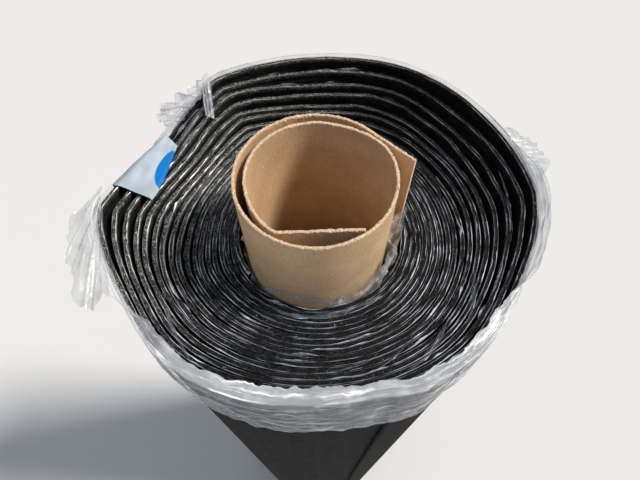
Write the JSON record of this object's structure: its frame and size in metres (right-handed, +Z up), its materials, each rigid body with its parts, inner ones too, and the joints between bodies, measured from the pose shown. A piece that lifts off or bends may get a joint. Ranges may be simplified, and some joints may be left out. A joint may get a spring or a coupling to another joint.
{
  "type": "roll of bitumen roofing felt",
  "caption": "Standing roll of black bitumen roofing felt, loosely wound and squashed out of round, on a rolled kraft board core, with a clear film band and a label.",
  "frame": {"origin": "on the floor, under the middle of the roll's outline", "axes": "+Z up along the standing roll, +X to the right of the view in the picture, -Y towards the viewer, where the core lies nearest the side"},
  "size_m": [0.2836, 0.264, 1.068],
  "materials": {
    "bitumen_felt": "black polymer bitumen felt, matt on its cut edges, with a faint gloss and fine sand on its faces",
    "kraft_board": "brown kraft board, matt, with fine specks and a pale fuzzy cut edge",
    "clear_film": "clear stretch film, bunched and wrinkled, milky where it is folded",
    "printed_film": "pale opaque film label with a plain blue patch"
  },
  "bodies": {
    "root": {"membrane_roll": "bitumen_felt", "core_insert": "kraft_board", "wrap_film": "clear_film", "label": "printed_film"}
  },
  "joints": []
}
